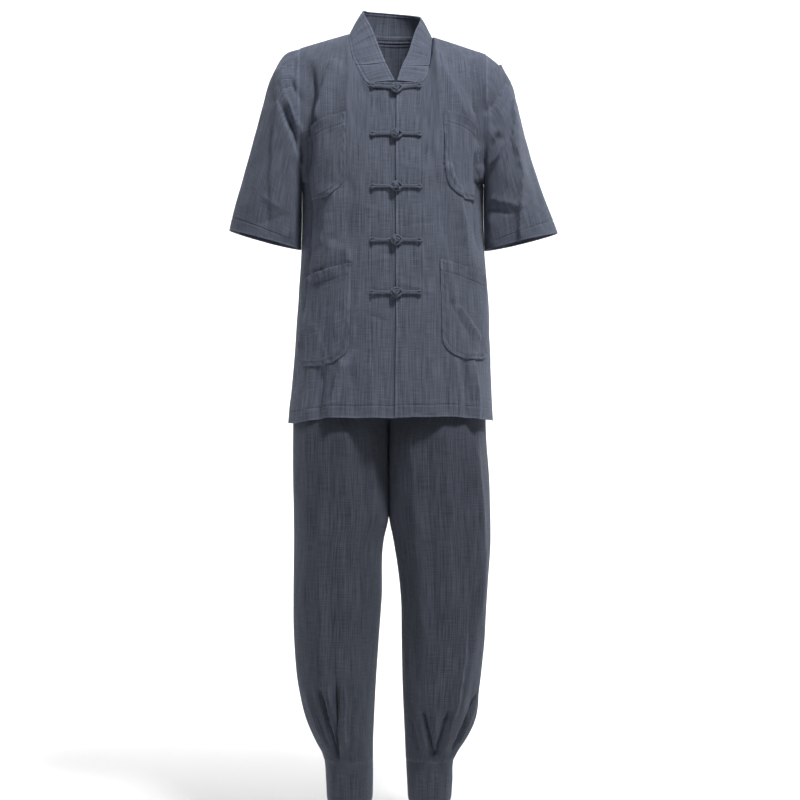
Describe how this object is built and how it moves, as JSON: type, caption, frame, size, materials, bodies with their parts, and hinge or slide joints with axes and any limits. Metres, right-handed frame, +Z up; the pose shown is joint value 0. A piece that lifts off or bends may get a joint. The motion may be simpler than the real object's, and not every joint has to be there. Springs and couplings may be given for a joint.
{
  "type": "monk suit",
  "caption": "Short-sleeved jacket with a banded V collar, knotted frog fastenings and slanted patch pockets, over wide trousers pleated into ankle cuffs, in hollow worn form.",
  "frame": {"origin": "between the shoulders at the base of the neck, where the wearer's shoulders carry the jacket", "axes": "+X to the wearer's left, -Y to the front, +Z up"},
  "size_m": [0.6271, 0.2757, 1.5088],
  "materials": {
    "jacket_cloth": "slubby plain weave, matt",
    "trouser_cloth": "slubby plain weave, matt",
    "cord_cloth": "bias cord of the same cloth, matt"
  },
  "bodies": {
    "root": {"jacket_back": "jacket_cloth", "jacket_front_right": "jacket_cloth", "jacket_front_left": "jacket_cloth", "sleeve_right": "jacket_cloth", "sleeve_left": "jacket_cloth", "collar_band": "jacket_cloth", "collar_end_right": "jacket_cloth", "collar_end_left": "jacket_cloth", "pocket_chest_right": "jacket_cloth", "pocket_chest_left": "jacket_cloth", "pocket_lower_right": "jacket_cloth", "pocket_lower_left": "jacket_cloth", "frog_knot_1": "cord_cloth", "frog_knot_2": "cord_cloth", "frog_knot_3": "cord_cloth", "frog_knot_4": "cord_cloth", "frog_knot_5": "cord_cloth", "frog_loop_1": "cord_cloth", "frog_loop_2": "cord_cloth", "frog_loop_3": "cord_cloth", "frog_loop_4": "cord_cloth", "frog_loop_5": "cord_cloth", "trouser_front_right": "trouser_cloth", "trouser_front_left": "trouser_cloth", "trouser_back_right": "trouser_cloth", "trouser_back_left": "trouser_cloth", "waistband": "trouser_cloth", "cuff_right": "trouser_cloth", "cuff_left": "trouser_cloth"}
  },
  "joints": []
}
